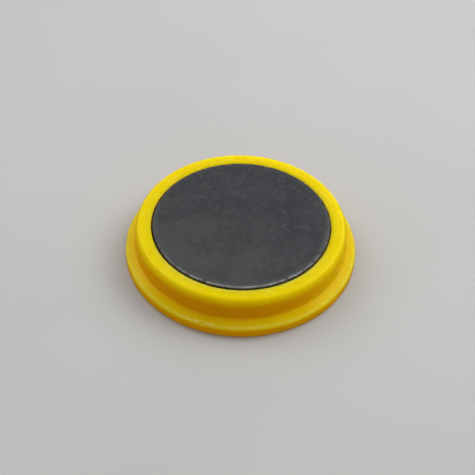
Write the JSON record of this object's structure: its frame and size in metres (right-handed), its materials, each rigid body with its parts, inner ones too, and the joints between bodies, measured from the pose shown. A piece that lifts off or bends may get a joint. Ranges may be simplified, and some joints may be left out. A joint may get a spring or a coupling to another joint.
{
  "type": "round office magnet",
  "caption": "Round plastic cap with a wide grip flange, holding a glued-in ferrite disc whose bare face clings to a steel board.",
  "frame": {"origin": "centre of the cap's face, on the plane that the magnet lies on", "axes": "+Z along the magnet's axis, from the cap's face to the bare face of the ferrite disc"},
  "size_m": [0.04, 0.04, 0.0072],
  "materials": {
    "cap_plastic": "glossy moulded yellow plastic with faint moulding waviness and handling scuffs",
    "ferrite": "ground charcoal ferrite, satin, finely mottled, with small edge chips",
    "glue": "cured translucent ivory glue"
  },
  "bodies": {
    "root": {"cap": "cap_plastic", "magnet": "ferrite", "glue_dabs": "glue"}
  },
  "joints": []
}
